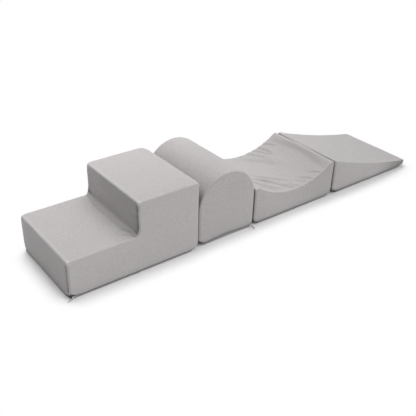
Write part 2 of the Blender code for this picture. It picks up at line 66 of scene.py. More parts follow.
# Light
WHITE = (1, 1, 1, 1)
WORLD_SLOPE = (0.57, -1.36, 1.31)
WORLD_LEVEL = -0.55
KEY_POWER = 99
KEY_WIDTH = 3.33
KEY_DISTANCE = 3.2
KEY_AIM = (-0.75, -0.1, 0.3)
KEY_FROM = (0.123, 0.631, 0.766)

# Floor: its colours, and the openness round the blocks' feet at which it is shown white, along the row.
# The shown colour dims toward the right end as painted shade, deepening the shadow by the ramp
FLOOR_HALF = 12
FLOOR_GAP = 0.0004
FLOOR_COLOUR = (0.82, 0.82, 0.82)
FLOOR_SHOWN_COLOUR = (1, 1, 1)
FLOOR_SHADE_PAINT_COLOUR = (0.86, 0.86, 0.86)
FLOOR_SHADE_PAINT_SPAN = (0.3, 1)
ROW_SPAN = (-1.2, 1.2)
OPENNESS_LOW = (0.56, 0.68)
OPENNESS_HIGH = (0.93, 0.97)
OPENNESS_SAMPLES = 16
SHADOW_REACH = 0.12

# Levels that the frame gives
RIM_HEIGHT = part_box("steps_base_panel")[1].z
SEWN_FOOT_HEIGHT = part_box("steps_top_panel")[0].z
ZIP_HEIGHT = sum(corner.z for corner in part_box("steps_zip_slider")) / 2
FOOT_HEIGHT = 2 * ZIP_HEIGHT - RIM_HEIGHT

# Forms of the blocks that the frame's boxes don't give
EDGE_RADIUS = 0.0085
CORNER_RADIUS = 0.011
UPPER_CORNER_RADIUS = 0.018
PLAN_RADIUS = 0.012
BASE_EDGE_RADIUS = 0.0055
LOWER_STEP_HEIGHT = 0.208
TREAD_LENGTH = 0.376
INNER_CORNER_RADIUS = 0.005
WAVE_DIP_HEIGHT = 0.138
WAVE_LIP_RADIUS = 0.022
RAMP_NOSE_HEIGHT = 0.046
RAMP_TOP_SAG = 0.014
RAMP_NOSE_LIFT = 0.016
RAMP_LIFT_LENGTH = 0.066

# Cover mesh
DENSE_STEP = 0.0005
MERGE_LIMIT = DENSE_STEP / 100
STATION_STEP = 0.006
STATION_TURN = math.radians(11)
ROW_STEP = 0.007
FLAT_STEP = 0.009
GRID_GAP = FLAT_STEP * 0.6
SEAM_ANGLE = math.radians(76)
TOP_EDGE = EDGE_RADIUS * SEAM_ANGLE
SIDE_EDGE = EDGE_RADIUS * (math.pi / 2 - SEAM_ANGLE)
SEAM_ROW_SHARES = (0, 0.1, 0.21, 0.38, 0.64, 1)
FIRST_ROWS = (0.003, 0.007, 0.012, 0.018)
FOOT_ROWS = (0.0012, 0.003, 0.006)
TIGHT_TURN = 14

# The facet where the cover spans the steps' inner corner, measured from that corner
SPAN_STEP = 0.003
SPAN_REACH = 0.06
SPAN_START = 0.012
SPAN_FADE = 0.08
SPAN_FAR_FADE = 0.16
SPAN_LEAST = 0.001
SPAN_FAR_SHARE = 0.5
FACET_FOOT = 0.042
FACET_CREASE = -0.0087
FACET_OUT = 0.017
FACET_RISE = 0.018
RISER_HEAD = 0.11
SEAM_FILLET = 0.034
FILLET_FADE = 0.012

# The crease at the riser's foot, and the pocket at its far end, both sunk and given painted shade
CREASE_DEPTH = 0.003
CREASE_SHADE = 0.4
CREASE_ABOVE = 0.004
CREASE_HALF_WIDTH = 0.007
CREASE_NEAR = 0.07
CREASE_FAR = 0.055
FAR_CREASE = 1.7
POCKET_ABOVE = 0.007
POCKET_HALF_WIDTH = 0.013

# How far each block's left and right ends are drawn in, tucked under at the foot, and their hem raised
SEATS = {
    "steps": ((0, 0.015, 0.038), (0.0035, 0.07, 0)),
    "arch": ((0.0035, 0.045, 0.03), (0.003, 0.015, 0.012)),
    "wave": ((0.003, 0.035, 0.018), (0.004, 0.05, 0.008)),
    "ramp": ((0.005, 0.045, 0.028), (0, 0, 0)),
}
TUCK_HEIGHT = 0.045
TUCK_LIMIT = 0.94
TUCK_REACH = 0.1
TUCK_DEPTH = 0.06
FAR_TUCK = 0.1
DRAW_FADE = 0.04
DRAW_LEAST = 0.3
RAISE_LENGTH = 0.055
RAISE_FADE = 0.08
FACING_BACK = 0.0015
FACING_SHARE = 0.05
# The hem's rise at which the facing's painted shade is full
FACING_DARK = 0.008

# The steps' worn top corners: how far in they give, and over what reach
SOFT_CORNER = (0.009, 0.027)
FIRM_CORNER = (0.004, 0.022)

# The arch's near seam bows up
BOW_HEIGHT = 0.0085
BOW_HALF_LENGTH = 0.16
BOW_FADE = 0.05
BOW_SIDE_SHARE = 12

# Cover relief
RIPPLE_WAVES = 16
RIPPLE_GAIN = 0.7
SEAM_DEPTH = 0.0005
SEAM_HALF_WIDTH = 0.0009
RIDGE_HEIGHT = 0.0005
RIDGE_DISTANCE = 0.0022
PUCKER_REACH = 0.009
PUCKER_HEIGHT = 0.0003
PUCKER_LENGTHS = (0.012, 0.028)
GATHER_BIAS = 0.4
LEFT_GATHER = 3
RISER_GATHER = 2
GATHER_REACH = 0.02
VALLEY_CENTRE = 0.012
VALLEY_HALF_WIDTH = 0.011
VALLEY_DEPTH = 0.0036
VALLEY_RAGGED = 0.35
VALLEY_FADE = 0.02
NUB_HEIGHT = 0.002
NUB_REACH = 0.009
SIDE_CROWN = 0.003
TOP_CROWN = 0.0018
CROWN_REACH = 0.05
WAVER_HEIGHT = 0.0007
WAVER_LENGTHS = (0.12, 0.4)
DEEPEST = -0.0055
FOOT_FADE = 0.035
FOOT_LEAST = 0.1
FOOT_DRAW = 0.0006
FOOT_DRAW_REACH = 0.008
HEM_DEPTH = 0.0022
HEM_ROLL = 0.0006

# Folds across the wave's hollow, in its own x and y: start, end, half width and depth
WAVE_FOLDS = (
    ((-0.245, -0.14), (-0.09, -0.22), 0.008, 0.0065),
    ((-0.22, -0.18), (-0.13, -0.236), 0.006, 0.004),
    ((-0.185, -0.07), (-0.05, -0.14), 0.008, 0.0045),
    ((-0.13, -0.09), (-0.01, -0.236), 0.009, 0.0065),
    ((-0.13, -0.03), (0.01, -0.15), 0.011, 0.004),
    ((0.16, -0.185), (0.192, -0.247), 0.0055, 0.0034),
    ((0.09, -0.18), (0.132, -0.246), 0.0065, 0.0036),
    ((0.055, -0.19), (0.095, -0.245), 0.005, 0.0028),
    ((-0.02, -0.18), (0.034, -0.246), 0.006, 0.0034),
    ((0.176, 0.25), (0.21, 0.16), 0.007, 0.0032),
    ((0.135, 0.248), (0.15, 0.12), 0.009, 0.0036),
    ((0.093, 0.246), (0.135, 0.13), 0.007, 0.0032),
    ((0.04, 0.246), (0.1, 0.1), 0.011, 0.0038),
    ((-0.02, 0.2), (0.1, 0.02), 0.02, 0.0035),
    ((0.232, 0.19), (0.234, -0.2), 0.018, 0.0044),
)

# Folds on the steps' lower tread at the near end of its inner corner
STEPS_FOLDS = (
    ((-0.065, -0.185), (-0.004, -0.238), 0.006, 0.0035),
    ((-0.035, -0.15), (0.002, -0.232), 0.005, 0.0025),
)
FOLD_BEND = 0.05
FOLD_FADE = 0.5
FOLD_LEAST = 0.5
FOLD_RIDGE_SHARE = 1.8
FOLD_RIDGE_RISE = 0.9

# How far the cover leans from one way to another, where one kind of surface fades out and the next begins
SIDE_LEAN = 0.99
SIDE_HALF = 0.5
UPPER_LEAN = (0, 0.5)
END_LEAN = (0.5, 1)
CREASE_LEAN = (0.75, 0.25)
FOLD_LEAN = (0.25, 0.75)
ARCH_FACING = (0.3, 0.7)
FLAT_FACING = (0.6, 0.9)

# Painted shade and highlights by place: shares of the way to the dark colour, or to the light one
SHADE_REACH = 0.002
SEAM_SHADE = 0.03
GATHER_SHADE = 0.08
HEM_SHADE = 0.25
FOLD_SHADE = 0.12
VALLEY_SHADE = 0.42
EDGE_SHEEN = 0.5
LIP_SHEEN = 0.7
LIP_REACH = 0.008
NUB_SHEEN = 1
END_SHEEN = 0.4
RISER_SHEEN = 0.4
RISER_SHEEN_START = 0.03
RISER_SHEEN_FADE = 0.08
BETWEEN_BLOCKS_SHADE = 0.5
BETWEEN_BLOCKS_START = 0.004
BETWEEN_BLOCKS_FADE = 0.008
ARCH_SHADE_TOP = 0.33
ARCH_SHADE_FADE = 0.06
FOOT_SHADE = 0.35
FOOT_SHADE_REACH = 0.007
RIM_SHADE = 0.3

# Painted shade on a side, growing toward its right end, and over what length: a very long one is even;
# below zero it is a painted highlight instead
EVEN_LENGTH = 9
SIDE_SHADES = {"steps": (-0.16, EVEN_LENGTH), "wave": (0.11, 0.45), "ramp": (0.5, 0.3)}
# Painted shade over the tops of the arch and the wave
TOP_SHADES = {"arch": 0.05, "wave": 0.05}

# Base tray
EDGE_STEPS = 6
CORNER_POINTS = 7
RIM_INSET = 0.0005
RIM_WAVER = 0.0004
RIM_WAVER_LENGTHS = (0.03, 0.12)
SOLE_STEP = 4 * FLAT_STEP
SOLE_LEAN = 10
SOLE_LEAST = -0.01

# Foam core
CORE_DEPTH = 0.006
CORE_FOOT = 0.004
CORE_BREAK = 0.004
CORE_SKIP = 4

# Zip
TOOTH_PITCH = 0.0018
TAPE_STEP = 0.012
TAPE_FRONT = 0.0019
TAPE_BACK = 0.0025
TAPE_EDGE = 0.0052
TAPE_INNER_EDGE = 0.00078
COIL_EDGE = 0.0026
COIL_BEND = 0.00117
COIL_LAP = 0.00035
COIL_DEPTH = 0.0013
COIL_HALF = 0.0006
TOOTH_HALF = 0.00055

# A tooth from its root to its tip, in rings: reach, height, half width and half thickness
TOOTH_PROFILE = (
    (-COIL_EDGE, -COIL_DEPTH, TOOTH_HALF * 0.7, COIL_HALF * 0.7),
    (-COIL_BEND, -COIL_DEPTH, TOOTH_HALF, COIL_HALF),
    (COIL_LAP, -COIL_DEPTH, TOOTH_HALF * 0.8, COIL_HALF * 0.75),
)

# Stitches, in rings from end to end
STITCH_PITCH = 0.0036
STITCH_HALF = 0.00135
STITCH_RADIUS = 0.00028
STITCH_RISE = 0.0028
STITCH_OUT = -0.0002
STITCH_PROFILE = (
    (-STITCH_HALF, -STITCH_RADIUS, STITCH_RADIUS / 2, STITCH_RADIUS / 2),
    (-STITCH_HALF / 2, 0, STITCH_RADIUS, STITCH_RADIUS),
    (STITCH_HALF / 2, 0, STITCH_RADIUS, STITCH_RADIUS),
    (STITCH_HALF, -STITCH_RADIUS, STITCH_RADIUS / 2, STITCH_RADIUS / 2),
)

# Kinds of pattern: the node, the sockets its numbers go to, and its output
PATTERNS = {
    "noise": ("TexNoise", ("Scale", "Detail"), "Fac"),
    "ribs": ("TexWave", ("Scale", "Distortion"), "Fac"),
    "cells": ("TexVoronoi", ("Scale",), "Distance"),
}

# Velour: each pattern's kind, scale and detail, the spans picked from them, its colours, and its bumps
NAP = ("noise", 9, 2)
NAP_SPAN = (0.3, 0.7, 0, 1)
NAP_COLOURS = ((0.466, 0.443, 0.446), (0.49, 0.466, 0.469))
MOTTLE = ("noise", 130, 3)
MOTTLE_SPAN = (0.32, 0.68, 0, 1)
MOTTLE_COLOURS = ((0.405, 0.385, 0.387), (0.55, 0.523, 0.526))
MOTTLE_SHARE = 0.55
GRAIN = ("noise", 900, 2)
GRAIN_BUMP = (0.5, 0.0006)
LUMPS = ("noise", 220, 4)
LUMPS_BUMP = (0.35, 0.0012)
# The colours that the painted highlights and the painted shade mix the pile toward
PAINTED_HIGHLIGHT_COLOUR = (0.64, 0.613, 0.613)
PAINTED_SHADE_COLOUR = (0.07, 0.066, 0.066)
VELOUR_ROUGHNESS = (0.3, 0.7, 0.88, 1)
VELOUR_GLOSS = {"Specular IOR Level": 0.2, "Sheen Weight": 0.18, "Sheen Roughness": 0.5}

# Plain materials: tone and its colours, wear and its roughness, grain and its bump, and metal
TAPE_RIBS = ("ribs", 900, 1.5)
COIL_TONE = ("noise", 300, 3)
THREAD_PLY = ("noise", 2500, 2)
NICKEL_SCUFFS = ("noise", 700, 5)
LOOKS = {
    "zip_tape_weave": (
        TAPE_RIBS, ((0.27, 0.259, 0.259), (0.38, 0.364, 0.364)),
        ("noise", 400, 2), (0.3, 0.7, 0.75, 0.95), TAPE_RIBS, (0.4, 0.0002), 0,
    ),
    "coil_nylon": (
        COIL_TONE, ((0.36, 0.345, 0.345), (0.5, 0.479, 0.479)),
        COIL_TONE, (0.3, 0.7, 0.4, 0.6), ("noise", 1200, 2), (0.15, 0.0002), 0,
    ),
    "sewing_thread": (
        THREAD_PLY, ((0.4, 0.383, 0.383), (0.58, 0.556, 0.556)),
        None, 0.7, THREAD_PLY, (0.3, 0.0001), 0,
    ),
    "nickel_plate": (
        NICKEL_SCUFFS, ((0.8, 0.79, 0.775), (0.95, 0.94, 0.925)),
        NICKEL_SCUFFS, (0.35, 0.7, 0.22, 0.42), ("noise", 1500, 3), (0.1, 0.0002), 1,
    ),
    "cut_foam": (
        ("noise", 20, 3), ((0.72, 0.67, 0.53), (0.82, 0.79, 0.68)),
        None, 0.95, ("cells", 700), (0.6, 0.0008), 0,
    ),
}


# Shared sums

def smooth_step(t):
    t = np.clip(t, 0, 1)
    return t * t * (3 - 2 * t)


def eased(value, low, high):
    """A smooth rise from 0 at the low value to 1 at the high one."""
    return smooth_step((value - low) / (high - low))


def bell(off, width):
    return np.exp(-((off / width) ** 2))


def norms(vectors):
    return np.linalg.norm(vectors, axis=1)


def unit(vectors):
    return vectors / norms(vectors)[:, None]


def run_along(line):
    """The distance run at each point of a line."""
    return np.concatenate([[0], np.cumsum(norms(np.diff(line, axis=0)))])


def upright(flat, height):
    return np.column_stack([flat, np.full(len(flat), height)])


def ripple(points, lengths, seed):
    """A smooth random height at each point, mostly between -1 and 1: waves summed in random directions."""
    rng = np.random.default_rng(seed)
    directions = unit(rng.normal(size=(RIPPLE_WAVES, points.shape[1])))
    numbers = 2 * np.pi / rng.uniform(*lengths, RIPPLE_WAVES)
    phases = rng.uniform(0, 2 * np.pi, RIPPLE_WAVES)
    waves = np.sin(points @ (directions * numbers[:, None]).T + phases)
    return waves.sum(axis=1) * math.sqrt(2 / RIPPLE_WAVES) * RIPPLE_GAIN


# Outlines, in a block's own x and z, from the foot of its left end to the foot of its right end

def turn(centre, radius, start, end):
    count = max(2, math.ceil(abs(end - start) * radius / DENSE_STEP))
    angles = np.linspace(start, end, count + 1)
    return np.array(centre) + radius * np.stack([np.cos(angles), np.sin(angles)], axis=1)


def rounded_line(corners, radii):
    """A line through the corners, with the ones between its ends rounded."""
    pieces = [np.array([corners[0]])]
    for before, corner, after, radius in zip(corners, corners[1:], corners[2:], radii):
        back = (Vector(before) - Vector(corner)).normalized()
        on = (Vector(after) - Vector(corner)).normalized()
        half = math.acos(back.dot(on)) / 2
        centre = Vector(corner) + (back + on).normalized() * (radius / math.sin(half))
        first = Vector(corner) + back * (radius / math.tan(half)) - centre
        last = Vector(corner) + on * (radius / math.tan(half)) - centre
        start = math.atan2(first.y, first.x)
        pieces.append(turn(centre, radius, start, start - first.angle_signed(last)))
    pieces.append(np.array([corners[-1]]))
    return np.vstack(pieces)


def hollow_line(half, first, second, corner_radius, hollow_radius):
    """Up one end, over a corner, through a hollow and over the other, by the corners' centres."""
    middle = (Vector(first) + Vector(second)) / 2
    reach = math.sqrt((hollow_radius + corner_radius) ** 2 - (Vector(second) - middle).length_squared)
    slope = (Vector(second) - Vector(first)).normalized()
    centre = middle + Vector((-slope.y, slope.x)) * reach
    down = Vector(first) - centre
    up = Vector(second) - centre
    start = math.atan2(down.y, down.x)
    end = math.atan2(up.y, up.x)
    return np.vstack([
        np.array([(-half, 0)]),
        turn(first, corner_radius, math.pi, start + math.pi),
        turn(centre, hollow_radius, start, end),
        turn(second, corner_radius, end + math.pi, 0),
        np.array([(half, 0)]),
    ])


def steps_line(half, height):
    riser = TREAD_LENGTH - half
    corners = [
        (-half, 0), (-half, LOWER_STEP_HEIGHT), (riser, LOWER_STEP_HEIGHT),
        (riser, height), (half, height), (half, 0),
    ]
    return rounded_line(corners, [CORNER_RADIUS, INNER_CORNER_RADIUS, CORNER_RADIUS, UPPER_CORNER_RADIUS])


def arch_line(half, height):
    return np.vstack([[(-half, 0)], turn((0, height - half), half, math.pi, 0), [(half, 0)]])


def wave_line(half, height):
    lip = WAVE_LIP_RADIUS
    reach = half - lip
    drop = WAVE_DIP_HEIGHT - height + lip
    radius = (reach**2 + drop**2 - lip**2) / (2 * (lip - drop))
    return hollow_line(half, (-reach, height - lip), (reach, height - lip), lip, radius)


def ramp_line(half, height):
    corner = CORNER_RADIUS
    first = Vector((corner - half, height - corner))
    second = Vector((half - corner, RAMP_NOSE_HEIGHT - corner))
    radius = (second - first).length_squared / (8 * RAMP_TOP_SAG)
    return hollow_line(half, first, second, corner, radius)


class Block:
    """A block's place and size, read from the frame, its outline, and how its cover sits."""

    def __init__(self, name, line, sewn_end, seed, folds=()):
        self.name = name
        self.body = f"{name}_block"
        self.sewn_end = sewn_end
        self.seed = seed
        self.folds = folds
        left, right = SEATS[name]
        self.ends = ((LEFT, *left), (RIGHT, *right))
        ends_low, ends_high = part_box(f"{name}_top_panel")
        side_low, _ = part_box(f"{name}_near_side_panel")
        _, side_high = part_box(f"{name}_far_side_panel")
        self.half = (ends_high.x - ends_low.x) / 2
        self.half_depth = (side_high.y - side_low.y) / 2
        self.height = ends_high.z
        self.middle = np.array([(ends_low.x + ends_high.x) / 2, (side_low.y + side_high.y) / 2, 0])
        self.line = line(self.half, self.height)
        self.inner_corner = None
        self.soft_corners = ()
        if name == "steps":
            self.inner_corner = (TREAD_LENGTH - self.half, LOWER_STEP_HEIGHT)
            self.soft_corners = (
                (self.half, 1, self.height, *SOFT_CORNER),
                (self.inner_corner[0], 1, self.height, *FIRM_CORNER),
                (-self.half, 1, LOWER_STEP_HEIGHT, *FIRM_CORNER),
                (self.half, -1, self.height, *FIRM_CORNER),
            )

    def stations(self):
        """Points along the outline above the zip, with the way out and the distance run at each."""
        run = run_along(self.line)
        feet = (FOOT_HEIGHT, run[-1] - FOOT_HEIGHT)
        dense = np.linspace(*feet, math.ceil((feet[1] - feet[0]) / DENSE_STEP))
        x = np.interp(dense, run, self.line[:, 0])
        z = np.interp(dense, run, self.line[:, 1])
        tangent = unit(np.gradient(np.stack([x, z], axis=1), dense, axis=0))
        heading = np.unwrap(np.arctan2(tangent[:, 1], tangent[:, 0]))
        density = np.maximum(1 / STATION_STEP, np.abs(np.gradient(heading, dense)) / STATION_TURN)
        if self.inner_corner:
            gap = np.hypot(x - self.inner_corner[0], z - self.inner_corner[1])
            density = np.where(gap < SPAN_REACH, np.maximum(density, 1 / SPAN_STEP), density)
        count = np.concatenate([[0], np.cumsum((density[1:] + density[:-1]) / 2 * np.diff(dense))])
        at = np.interp(np.linspace(0, count[-1], math.ceil(count[-1]) + 1), count, dense)
        angle = np.interp(at, dense, heading) + math.pi / 2
        columns = (np.interp(at, dense, x), np.interp(at, dense, z), np.cos(angle), np.sin(angle), at)
        found = np.stack(columns, axis=1)
        below = (SEWN_FOOT_HEIGHT, (SEWN_FOOT_HEIGHT + FOOT_HEIGHT) / 2)
        if self.sewn_end == LEFT:
            return np.vstack([[(-self.half, z, -1, 0, z) for z in below], found]), len(below), 0
        return np.vstack([found, [(self.half, z, 1, 0, run[-1] - z) for z in below[::-1]]]), 0, len(below)

    def facing(self, points, outward):
        """Which points lie on an end that another block stands against."""
        lean = ARCH_FACING if self.name == "arch" else FLAT_FACING
        found = np.zeros(len(points))
        for way, outermost in ((LEFT, "steps"), (RIGHT, "ramp")):
            on_end = eased(way * outward[:, 0], *lean) * (way * points[:, 0] > 0)
            found += on_end * (self.name != outermost)
        return found

    def raised(self, points):
        """How far the cover's hem rides up at each point, near the block's lower corners."""
        from_side = self.half_depth - np.abs(points[:, 1])
        rise = np.zeros(len(points))
        for way, _, _, height in self.ends:
            from_end = self.half - way * points[:, 0]
            off = np.clip(1 - np.maximum(from_end, from_side) / RAISE_LENGTH, 0, 1)
            rise += height * (1 - np.sqrt(1 - off**2))
        return rise * np.clip(1 - (points[:, 2] - FOOT_HEIGHT) / RAISE_FADE, 0, 1)

    def settled(self, points):
        """The points as the block sits, with its ends drawn in and its lower corners tucked under."""
        points = points.copy()
        side = self.half_depth - np.abs(points[:, 1])
        low = np.clip(1 - points[:, 2] / TUCK_HEIGHT, 0, TUCK_LIMIT)
        tuck = (1 - np.sqrt(1 - low**2)) * smooth_step(1 - side / TUCK_DEPTH)
        tuck *= np.where(points[:, 1] < 0, 1, FAR_TUCK)
        below = DRAW_LEAST + (1 - DRAW_LEAST) * smooth_step((self.height - points[:, 2]) / DRAW_FADE)
        for way, drawn_in, tucked, _ in self.ends:
            share = smooth_step(1 - (self.half - way * points[:, 0]) / TUCK_REACH)
            points[:, 0] -= way * share * (tucked * tuck + drawn_in * below)
        for across, along, up, depth, reach in self.soft_corners:
            corner = np.array([across, along * self.half_depth, up])
            inward = np.array([-1 if across == self.half else 1, -along, -1]) / math.sqrt(3)
            points += inward * (depth * bell(norms(points - corner), reach))[:, None]
        if self.name == "ramp":
            share = np.clip((points[:, 0] - self.half + RAMP_LIFT_LENGTH) / RAMP_LIFT_LENGTH, 0, 1)
            lift = np.clip(1 - points[:, 2] / RAMP_NOSE_HEIGHT, 0, 1)
            points[:, 2] += RAMP_NOSE_LIFT * share * (2 - share) * lift
        if self.name == "arch":
            along = np.clip(1 - (points[:, 0] / BOW_HALF_LENGTH) ** 2, 0, 1) ** 2
            near = smooth_step(-points[:, 1] / self.half_depth * BOW_SIDE_SHARE - BOW_SIDE_SHARE + 1)
            fade = np.clip(1 - (points[:, 2] - FOOT_HEIGHT) / BOW_FADE, 0, 1)
            points[:, 2] += BOW_HEIGHT * along * near * smooth_step(points[:, 2] / RIM_HEIGHT) * fade
        return points

    def placed(self, points):
        return self.settled(points) + self.middle


# Meshes

def linked(name, data):
    made = bpy.data.objects.new(name, data)
    bpy.context.scene.collection.objects.link(made)
    return made


def piece(block, part, points, faces, material, smooth=True):
    """One of a block's pieces, settled and placed, riding on the block's body."""
    mesh = bpy.data.meshes.new(f"{block.name}_{part}")
    mesh.from_pydata([tuple(point) for point in block.placed(points).tolist()], [], faces)
    mesh.validate()
    if smooth:
        mesh.shade_smooth()
    mesh.materials.append(bpy.data.materials[material])
    made = linked(mesh.name, mesh)
    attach(made, block.body)
    return made


def paint_shading(made, values):
    """Paints light and shade into a piece's colour: painted shade above zero, painted highlight below."""
    made.data.attributes.new("pressed", "FLOAT", "POINT").data.foreach_set("value", values)


def ring_faces(rings, count, first=0):
    """Faces between rings of count points each, every ring closed on itself."""
    faces = []
    for row in range(rings - 1):
        for k in range(count):
            a = first + row * count + k
            b = first + row * count + (k + 1) % count
            faces.append((a, b, b + count, a + count))
    return faces


def filled(points, rim):
    """Triangles over the points, inside the closed rim that the first of them make."""
    edges = [(k, (k + 1) % rim) for k in range(rim)]
    found = delaunay_2d_cdt([Vector(point) for point in points], edges, [], 1, MERGE_LIMIT)
    names = [source[0] for source in found[3]]
    return [tuple(names[k] for k in face) for face in found[2]]


def outwards(points, faces, outward):
    """The faces, each turned so that its normal agrees with the way out."""
    made = []
    for face in faces:
        a, b, c = points[face[0]], points[face[1]], points[face[2]]
        normal = np.cross(b - a, c - a)
        made.append(face if normal @ outward[face[0]] > 0 else face[::-1])
    return made


def bars(centres, along, up, side, profile):
    """Many small bars as one mesh, by rings of (reach, height, half width, half thickness)."""
    points = []
    faces = []
    for centre, way, high, wide in zip(centres, along, up, side):
        first = len(points)
        for reach, height, half_wide, half_thick in profile:
            middle = centre + way * reach + high * height
            points += [
                middle + wide * half_wide,
                middle + high * half_thick,
                middle - wide * half_wide,
                middle - high * half_thick,
            ]
        faces += ring_faces(len(profile), 4, first)
        faces.append(tuple(first + k for k in (3, 2, 1, 0)))
        faces.append(tuple(len(points) - 4 + k for k in range(4)))
    return np.array(points), faces


# Cover

def rows_across(half_depth):
    """Each row across the cover, side flat to side flat: inset, y, tilt, seam distance and side."""
    edge = []
    for share in SEAM_ROW_SHARES[::-1]:
        edge.append((SEAM_ANGLE + (math.pi / 2 - SEAM_ANGLE) * share, SIDE_EDGE * share))
    for share in SEAM_ROW_SHARES[1:]:
        edge.append((SEAM_ANGLE * (1 - share), TOP_EDGE * share))
    rows = []
    for tilt, seam in edge:
        rows.append((EDGE_RADIUS * (1 - math.cos(tilt)), EDGE_RADIUS * (1 - math.sin(tilt)), tilt, seam))
    for step in FIRST_ROWS:
        rows.append((0, EDGE_RADIUS + step, 0, TOP_EDGE + step))
    first = EDGE_RADIUS + FIRST_ROWS[-1]
    width = 2 * (half_depth - first)
    middle = np.linspace(first, first + width, round(width / ROW_STEP) + 1)[1:-1]
    half = [(inset, distance - half_depth, tilt, seam, -1) for inset, distance, tilt, seam in rows]
    flat = [(0, y - half_depth, 0, TOP_EDGE + min(y, 2 * half_depth - y) - EDGE_RADIUS, -1) for y in middle]
    other = [(inset, -y, tilt, seam, 1) for inset, y, tilt, seam, _ in half[::-1]]
    return np.array(half + flat + other)


def span_share(from_near, from_far):
    """How much of the whole facet there is, from the near side across to the far one."""
    near = smooth_step((from_near - SPAN_START) / SPAN_FADE)
    far = SPAN_FAR_SHARE + (1 - SPAN_FAR_SHARE) * smooth_step(from_far / SPAN_FAR_FADE)
    return np.maximum(near * far, SPAN_LEAST)


def spanned(block, points):
    """The steps' cover over the inner corner: a facet in the middle, and a fillet at the near seam."""
    across, up = block.inner_corner
    run = points[:, 0] - across + points[:, 2] - up
    from_near = points[:, 1] + block.half_depth
    share = span_share(from_near, block.half_depth - points[:, 1])
    reach = run / share
    knots = (-FACET_FOOT, FACET_CREASE, RISER_HEAD)
    ahead = np.interp(reach, knots, (-FACET_FOOT, -FACET_OUT, 0)) - np.minimum(reach, 0)
    rise = np.interp(reach, knots, (0, FACET_RISE, RISER_HEAD)) - np.maximum(reach, 0)
    share = share * ((reach > knots[0]) & (reach < knots[-1]))
    turned = np.clip((run + SEAM_FILLET) / (2 * SEAM_FILLET), 0, 1) * (math.pi / 2)
    near = bell(from_near, FILLET_FADE) * (np.abs(run) < SEAM_FILLET)
    ahead = ahead * share + (SEAM_FILLET * (np.sin(turned) - 1) - np.minimum(run, 0)) * near
    rise = rise * share + (SEAM_FILLET * (1 - np.cos(turned)) - np.maximum(run, 0)) * near
    return points + np.stack([ahead, np.zeros(len(points)), rise], axis=1)


def inside(points, ring):
    """Which points lie inside a closed ring, by the edges crossed on the way out."""
    x, z = points[:, 0:1], points[:, 1:2]
    ax, az = ring[:, 0], ring[:, 1]
    bx, bz = np.roll(ax, -1), np.roll(az, -1)
    spans = (az > z) != (bz > z)
    rise = np.where(bz == az, 1, bz - az)
    crossed = spans & (x < (bx - ax) * (z - az) / rise + ax)
    return crossed.sum(axis=1) % 2 == 1


def flat_fill(ring):
    """Points and triangles that fill a side's flat inside its ring, with finer rows along its foot."""
    left, right = ring[0, 0], ring[-1, 0]
    foot_x = np.linspace(right, left, round((right - left) / STATION_STEP) + 1)[1:-1]
    hem = upright(foot_x, FOOT_HEIGHT)
    outline = np.vstack([ring, hem])
    low = outline.min(axis=0)
    high = outline.max(axis=0)
    columns = np.arange(low[0], high[0], FLAT_STEP)
    levels = np.arange(FOOT_HEIGHT + FOOT_ROWS[-1] + FLAT_STEP, high[1], FLAT_STEP)
    grid = np.array([(x + k % 2 * FLAT_STEP / 2, z) for k, z in enumerate(levels) for x in columns])
    gaps = np.array([norms(outline - point).min() for point in grid])
    grid = grid[inside(grid, outline) & (gaps > GRID_GAP)]
    fine = np.vstack([upright(foot_x, FOOT_HEIGHT + row) for row in FOOT_ROWS])
    fine = fine[inside(fine, outline)]
    fine = fine[np.min(np.abs(fine[:, :1] - [[left, right]]), axis=1) > STATION_STEP / 2]
    extra = np.vstack([hem, fine, grid])
    return extra, filled(np.vstack([ring, extra]), len(outline))


def cover_shell(block):
    """The cover before its relief: points, the way out, seam distance and run at each, and faces."""
    stations, before, after = block.stations()
    rows = rows_across(block.half_depth)
    x, z, nx, nz, run = (stations[:, k][:, None] for k in range(5))
    inset, y, tilt, seam, side = (rows[:, k][None, :] for k in range(5))
    shape = (len(stations), len(rows))
    points = np.stack([x - nx * inset, np.broadcast_to(y, shape), z - nz * inset], axis=2)
    outward = np.stack([nx * np.cos(tilt), side * np.sin(tilt) * np.ones(shape), nz * np.cos(tilt)], axis=2)
    facts = np.stack([np.broadcast_to(seam, shape), np.broadcast_to(run, shape)], axis=2)
    points = points.reshape(-1, 3)
    if block.inner_corner:
        points = spanned(block, points)
    outward = outward.reshape(-1, 3)
    facts = facts.reshape(-1, 2)
    index = np.arange(len(points)).reshape(shape)
    corners = [index[:-1, :-1], index[1:, :-1], index[1:, 1:], index[:-1, 1:]]
    faces = [tuple(quad) for quad in np.stack(corners, axis=2).reshape(-1, 4).tolist()]
    last = len(stations) - after
    for edge_row, way in ((0, -1), (len(rows) - 1, 1)):
        ring_names = index[before:last, edge_row]
        ring = points[ring_names][:, [0, 2]]
        extra, triangles = flat_fill(ring)
        gaps = np.array([norms(ring - point) for point in extra])
        nearest_run = facts[ring_names][gaps.argmin(axis=1), 1]
        names = np.concatenate([ring_names, len(points) + np.arange(len(extra))])
        faces += [tuple(int(names[k]) for k in face) for face in triangles]
        made = np.stack([extra[:, 0], np.full(len(extra), way * block.half_depth), extra[:, 1]], axis=1)
        points = np.vstack([points, made])
        outward = np.vstack([outward, np.tile([0, way, 0], (len(extra), 1))])
        facts = np.vstack([facts, np.stack([gaps.min(axis=1) + SIDE_EDGE, nearest_run], axis=1)])
    return points, outward, facts, outwards(points, faces, outward)


